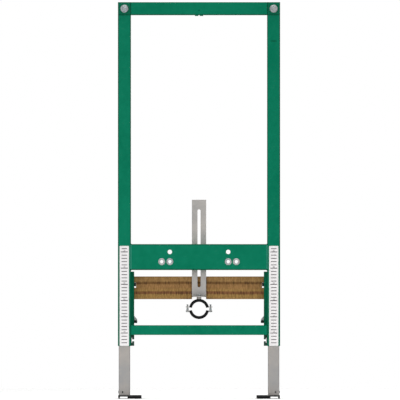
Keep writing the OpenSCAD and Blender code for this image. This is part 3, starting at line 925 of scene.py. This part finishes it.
lockSet = {
    # outlines of (x, z) on the right side, and the depths from and to
    "block": ((201.0, 232.0), (222.6, 232.0), (222.6, 256.0), (201.0, 256.0)),
    "blockDepth": (22.4, 40.2),
    "blockEdge": 1.0,
    "grip": ((202, 232.4), (192.6, 232.1), (190.7, 233.6), (190.6, 240.0), (202, 240.4)),
    "gripDepth": (22.8, 39.8),
    "arm": ((202, 240.2), (191.4, 240.2), (190.9, 241.2), (191.3, 244.6), (200.0, 254.6), (202, 254.6)),
    "armDepth": (25.0, 37.6),
    "armEdge": 0.4,
    "rib": ((190.2, 0), (191.6, -0.5), (191.6, 0.9), (190.2, 0.4)),    # z from the rib's place
    "ribDepth": (23.8, 38.8),
    "ribPlaces": (233.4, 235.1, 236.8, 238.5),
    "pin": (218.5, 244.0),           # x and z of its middle
    "pinRadius": 4.0,
    "pinDepth": (17.8, 23.4),
}


def legLock(node, values, sign):
    bm = bmesh.new()
    prism(bm, values["block"], *values["blockDepth"])
    roundSharpEdges(bm, values["blockEdge"], 3)
    prism(bm, values["grip"], *values["gripDepth"])
    for place in values["ribPlaces"]:                # ribs for the finger
        prism(bm, [(x, place + z) for x, z in values["rib"]], *values["ribDepth"])
    front, back = values["pinDepth"]
    x, z = values["pin"]
    pin = bmesh.ops.create_cone(bm, cap_ends=True, segments=32, radius1=values["pinRadius"] * mm,
                                radius2=values["pinRadius"] * mm, depth=(back - front) * mm)["verts"]
    putAt(bm, "Y", (x, (back + front) / 2, z), pin)
    if sign < 0:
        mirrored(bm)
    standFor(node, bm, "black_plastic", "black_plastic")


def lockArm(name, node, values, sign):
    bm = bmesh.new()
    prism(bm, values["arm"], *values["armDepth"])
    roundSharpEdges(bm, values["armEdge"], 2)
    if sign < 0:
        mirrored(bm)
    addPiece(name, bm, "boltZinc", "zinc_plated", cadNodes[node]["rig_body"])


for side, sign in sides:
    legLock(side + "_leg_lock", lockSet, sign)
    lockArm(side + "LockArm", side + "_leg_lock", lockSet, sign)
print("leg locks built")


# rubber linings of the pipe clamp

liningSet = {
    "pipe": 22.0,                    # radii of the pipe, the steel band's inside and the lips
    "band": 27.02,
    "lip": 31.0,
    "halfWidth": 12.0,
    "lipWidth": 2.0,
    "chamfer": 0.3,
    "mouth": 0.6,                    # how far the lining's edges open
    "margin": 0.8,                   # plain edge beside the ribs
    "ribs": 6,
    "ribDepth": 0.9,
    "ribTop": (0.3, 0.7),            # shares of the pitch
    "gap": 8.8,                      # between the two halves
    "centre": (0, 1.0, 275.9),
}


def clampLining(node, up, values):
    # U-shaped rubber round the band, ribbed on the inside
    pipe, band, lip, bevel = values["pipe"], values["band"], values["lip"], values["chamfer"]
    half, inner = values["halfWidth"], values["halfWidth"] - values["lipWidth"]
    ribs = half - values["margin"]
    groove = pipe + values["ribDepth"]
    profile = [(band, -inner), (lip - bevel, -inner), (lip, -inner - bevel), (lip, -half + bevel),
               (lip - bevel, -half), (pipe + values["mouth"], -half)]
    pitch = 2 * ribs / values["ribs"]
    for rib in range(values["ribs"]):
        y = rib * pitch - ribs
        profile += [(groove, y)] + [(pipe, y + share * pitch) for share in values["ribTop"]]
    profile += [(groove, ribs), (pipe + values["mouth"], half), (lip - bevel, half), (lip, half - bevel),
                (lip, inner + bevel), (lip - bevel, inner), (band, inner)]
    bm = bmesh.new()
    lift = math.asin(values["gap"] / (pipe + lip))
    points = [(math.cos(lift) * radius, y, math.sin(lift) * radius) for radius, y in profile]
    bmesh.ops.spin(bm, geom=joined(bm, points, closed=True), cent=(0, 0, 0), axis=(0, -1, 0), dvec=(0, 0, 0),
                   angle=math.pi - 2 * lift, steps=40, use_merge=False, use_duplicate=False)
    closeEnds(bm)
    if not up:
        bmesh.ops.rotate(bm, cent=(0, 0, 0), matrix=Matrix.Rotation(math.pi, 3, "Y"), verts=bm.verts[:])
    putAt(bm, "Z", values["centre"])
    standFor(node, bm, "black_rubber", "black_rubber", sharpFrom=28)


clampLining("clamp_upper_lining", True, liningSet)
clampLining("clamp_lower_lining", False, liningSet)
print("linings built")


# foot bolts

footBoltSet = {
    "place": (247.5, 0, 20),
    # outline of (radius, height), from the shank's end to the rim of the socket
    "outline": ((0, -21.7), (3, -21.7), (3, 0), (4.3, 0), (4.3, 0.72), (3.8, 1.35), (3.0, 1.8), (2.3, 1.8)),
    "socket": 2.1,                   # middle to corner of the hexagon
    "socketDepth": 1.2,
}


def footBolt(node, values, sign):
    # button head with a hexagon socket
    bm = bmesh.new()
    lathe(bm, values["outline"], 48)
    rim = [edge for edge in bm.edges if edge.is_boundary and edge.verts[0].co.z > 0]
    floor = bmesh.ops.extrude_edge_only(bm, edges=rim)["geom"]
    for vert in onlyVerts(floor):                    # the ring's points slide onto a hexagon
        angle = math.atan2(vert.co.y, vert.co.x) % (math.pi / 3) - math.pi / 6
        reach = values["socket"] * math.cos(math.pi / 6) / math.cos(angle) * mm
        height = vert.co.z
        vert.co *= reach / math.hypot(vert.co.x, vert.co.y)
        vert.co.z = height
    rim = [edge for edge in bm.edges if edge.is_boundary]
    deep = bmesh.ops.extrude_edge_only(bm, edges=rim)["geom"]
    bmesh.ops.translate(bm, vec=(0, 0, -values["socketDepth"] * mm), verts=onlyVerts(deep))
    closeEnds(bm)
    putAt(bm, "X", values["place"])
    if sign < 0:
        mirrored(bm)
    standFor(node, bm, "boltZinc", "zinc_plated", sharpFrom=30)


for side, sign in sides:
    footBolt(side + "_foot_bolt", footBoltSet, sign)
print("foot bolts built")


# weld seams under the coat

weldSet = {
    "ripple": 1.9,
    "crest": 1.04,                   # ripples swing between these shares of the radius
    "trough": 0.90,
    "wander": 0.05,                  # random part of that share
    "root": 0.55,                    # share of the radius where a seam starts
    "tip": 0.5,                      # and where it ends
    # start, end and radius, right side; the left one is its mirror image
    "channelSeams": [((209.7, -17.9, 398.5), (209.7, -17.9, 473.5), 3.0)],       # channel to post
    "greenSeams": [
        ((209.7, 13.2, 399), (209.7, 13.2, 402), 2.0),
        ((210.3, -18.1, 198), (210.3, -18.1, 224), 2.4),       # lower crossbar to post
        ((209.5, -14.6, 198), (209.5, -14.6, 224), 1.8),
        ((209.6, -12, 475.6), (209.6, 8, 475.6), 1.8),         # over and under the channel
        ((209.6, -12, 396.4), (209.6, 8, 396.4), 1.8),
    ],
    "railSeams": [
        ((224.6, 20.6, 205), (224.6, 20.6, 228), 1.9),         # rail to post, in stitches
        ((224.6, 20.6, 276), (224.6, 20.6, 299), 1.9),
        ((224.6, 20.6, 362), (224.6, 20.6, 385), 1.9),
    ],
}


def weldBead(bm, start, end, radius, values, dice):
    along = Vector(end) - Vector(start)
    count = max(4, round(along.length / values["ripple"]) * 2)
    ring = bmesh.ops.create_circle(bm, cap_ends=True, segments=10, radius=radius * values["root"] * mm)
    made = ring["verts"]
    edges = [edge for edge in bm.edges if edge.is_boundary and set(edge.verts) <= set(made)]
    for step in range(count):
        grown = bmesh.ops.extrude_edge_only(bm, edges=edges)["geom"]
        verts = onlyVerts(grown)
        edges = [item for item in grown if isinstance(item, bmesh.types.BMEdge)
                 and set(item.verts) <= set(verts)]
        swing = values["crest"] if step % 2 else values["trough"]
        size = radius * swing * dice.uniform(1 - values["wander"], 1 + values["wander"])
        if step == count - 1:
            size = radius * values["tip"]
        for vert in verts:
            reach = math.hypot(vert.co.x, vert.co.y)
            vert.co.x *= size * mm / reach
            vert.co.y *= size * mm / reach
            vert.co.z += along.length * mm / count
        made = made + verts
    closeEnds(bm)
    turn = Vector((0, 0, 1)).rotation_difference(along.normalized()).to_matrix().to_4x4()
    move = Matrix.Translation(Vector(start) * mm) @ turn
    bmesh.ops.transform(bm, matrix=move, verts=made)


def weldPiece(name, seams, finish, slot, sign):
    dice = random.Random(len(name) + sign)
    bm = bmesh.new()
    for start, end, radius in weldSet[seams]:
        weldBead(bm, start, end, radius, weldSet, dice)
    if sign < 0:
        mirrored(bm)
    addPiece(name, bm, finish, slot, "frame", sharpFrom=60)


for side, sign in sides:
    weldPiece(side + "FrameWelds", "greenSeams", "green_coat", "green_coat", sign)
    weldPiece(side + "RailWelds", "railSeams", "railCoat", "dark_green_coat", sign)
    # painted highlight: the channel seam takes the lighter coat
    weldPiece(side + "ChannelWeld", "channelSeams", "seamHighlightCoat", "green_coat", sign)
print("weld seams run")


# height scales and height mark on the posts

scaleSet = {
    "x": 230.35,
    "face": -20,                     # front of the post
    "width": 28.6,
    "low": 162.4,
    "high": 470.5,
    "corner": 2,
    "thick": 0.3,
    "finishedFloor": 102,            # height of the scale's zero
    "firstTick": 70,
    "lastTick": 360,
    "step": 10,
    "numberStep": 50,                # every fifth tick is longer and has a number
    "minor": (17, 2.2),              # width and height of a tick
    "major": (21, 2.5),
    "printThick": 0.12,
    "printSink": 0.01,               # how deep the print lies in the film
    "numberHeight": 6.4,
    "numberLift": 1.9,
    "numberThick": 0.02,
}
markSet = {"x": 230.2, "z": 1102, "width": 18, "height": 4.2, "corner": 1.9, "thick": 0.3}


def roundPlate(bm, values, height, x, z):
    # upright plate with round corners, its back on the post
    base = bmesh.ops.create_cube(bm, size=1)["verts"]
    thick = values["thick"]
    shape = Matrix.Diagonal(inMetres((values["width"], thick, height)) + [1])
    bmesh.ops.transform(bm, matrix=shape, verts=base)
    corners = [edge for edge in bm.edges
               if abs(edge.verts[0].co.y - edge.verts[1].co.y) > 0.5 * thick * mm]
    bmesh.ops.bevel(bm, geom=corners, offset=values["corner"] * mm, segments=5, affect="EDGES",
                    profile=0.5, material=-1)
    putAt(bm, "Z", (x, scaleSet["face"] - thick / 2, z))


def addNumber(bm, text, values, place):
    curve = bpy.data.curves.new("number", type="FONT")
    curve.body = text
    curve.size = values["numberHeight"] * mm
    curve.align_x = "CENTER"
    curve.resolution_u = 3
    curve.extrude = values["numberThick"] * mm
    holder = bpy.data.objects.new("number", curve)
    bpy.context.scene.collection.objects.link(holder)
    shape = bpy.data.meshes.new_from_object(holder.evaluated_get(bpy.context.evaluated_depsgraph_get()))
    bpy.data.objects.remove(holder)
    before = set(bm.verts)
    bm.from_mesh(shape)
    verts = [vert for vert in bm.verts if vert not in before]
    stand = Matrix.Translation(inMetres(place)) @ Matrix.Rotation(math.pi / 2, 4, "X")
    bmesh.ops.transform(bm, matrix=stand, verts=verts)
    bpy.data.meshes.remove(shape)


def scaleMarks(x, values):
    bm = bmesh.new()
    thick = values["printThick"]
    front = values["face"] - values["thick"] - thick / 2 + values["printSink"]
    for height in range(values["firstTick"], values["lastTick"] + 1, values["step"]):
        major = height % values["numberStep"] == 0
        wide, tall = values["major" if major else "minor"]
        z = values["finishedFloor"] + height
        tick = bmesh.ops.create_cube(bm, size=1)["verts"]
        shape = Matrix.Diagonal(inMetres((wide, thick, tall)) + [1])
        move = Matrix.Translation(inMetres((x, front, z))) @ shape
        bmesh.ops.transform(bm, matrix=move, verts=tick)
        if major:
            centimetres = height // 10
            addNumber(bm, str(centimetres), values, (x, front, z + values["numberLift"]))
    return bm


def heightScale(side, sign, values):
    x = sign * values["x"]
    film = bmesh.new()
    roundPlate(film, values, values["high"] - values["low"], x, (values["low"] + values["high"]) / 2)
    addPiece(side + "ScaleFilm", film, "label", "green_coat", "frame")
    addPiece(side + "ScaleMarks", scaleMarks(x, values), "ink", "green_coat", "frame", turnOut=False)


def heightMark(values):
    bm = bmesh.new()
    roundPlate(bm, values, values["height"], values["x"], values["z"])
    addPiece("heightMark", bm, "dark_green_coat", "dark_green_coat", "frame")


for side, sign in sides:
    heightScale(side, sign, scaleSet)
heightMark(markSet)
print("scales and height mark applied")


# floor, lights and air

floorSet = {
    "size": 5.0,
    "drop": 0.2 * mm,                # below the soles
    "fade": (0.9, 2.4),              # it fades out between two radii
    "main": paint(247, 247, 246),
    "light": paint(251, 251, 250),
    "cloud": 1.5,
    "rough": 0.9,
    "shine": 0.1,
}
lightSet = {
    # name: width, height, watts, place, aim
    "key": (1.8, 1.8, 42, (-1.7, -2.7, 1.2), (0, 0, 0.6)),
    "fill": (1.8, 1.8, 30, (1.9, -2.7, 1.1), (0, 0, 0.6)),
    "overhead": (2.4, 2.4, 106, (0, 0.1, 3.4), (0, 0, 0)),
    "back": (2.0, 2.0, 26, (0.9, 3.0, 1.8), (0, 0, 0.6)),
}
airSet = {
    "colour": (1, 1, 1, 1),
    "seen": 1.0,                     # background as the camera sees it
    "felt": 0.26,                    # background as light
}


def floorFinish(name, values):
    ground = Finish(name)
    x, y = ground.axes(ground.place)[:2]
    reach = (x * x + y * y) ** 0.5
    cloud = ground.noise(values["cloud"], 2)
    colour = ground.mix(cloud.span(0.3, 0.7), values["main"], values["light"])
    shown = 1 - reach.span(*values["fade"])
    varying = {"Base Color": colour, "Roughness": values["rough"] + 0.05 * cloud, "Alpha": shown}
    return ground.done(varying, values["shine"])


def layFloor(values):
    bm = bmesh.new()
    bmesh.ops.create_grid(bm, x_segments=1, y_segments=1, size=values["size"] / 2)
    bmesh.ops.translate(bm, vec=(0, 0, -values["drop"]), verts=bm.verts[:])
    mesh = bpy.data.meshes.new("floor")
    bm.to_mesh(mesh)
    bm.free()
    mesh.materials.append(floorFinish("floor", values))
    floor = bpy.data.objects.new("floor", mesh)
    bpy.context.scene.collection.objects.link(floor)


def hangLight(name, wide, tall, watts, place, aim):
    lamp = bpy.data.lights.new(name, type="AREA")
    lamp.shape = "RECTANGLE"
    lamp.size = wide
    lamp.size_y = tall
    lamp.energy = watts
    holder = bpy.data.objects.new(name, lamp)
    holder.location = place
    holder.rotation_euler = (Vector(aim) - Vector(place)).to_track_quat("-Z", "Y").to_euler()
    bpy.context.scene.collection.objects.link(holder)


def fillAir(values):
    world = bpy.data.worlds.new("studio")
    bpy.context.scene.world = world
    air = NodeTree(world)

    def glow(strength):
        sockets = {"Color": values["colour"], "Strength": strength}
        return air.add("ShaderNodeBackground", {}, sockets)["Background"]

    toCamera = air.add("ShaderNodeLightPath")["Is Camera Ray"]
    shaders = {0: toCamera, 1: glow(values["felt"]), 2: glow(values["seen"])}
    both = air.add("ShaderNodeMixShader", {}, shaders)["Shader"]
    air.add("ShaderNodeOutputWorld", {}, {"Surface": both})


layFloor(floorSet)
for name, values in lightSet.items():
    hangLight(name, *values)
fillAir(airSet)
bpy.context.scene.view_settings.view_transform = "Standard"
print("floor and light ready")
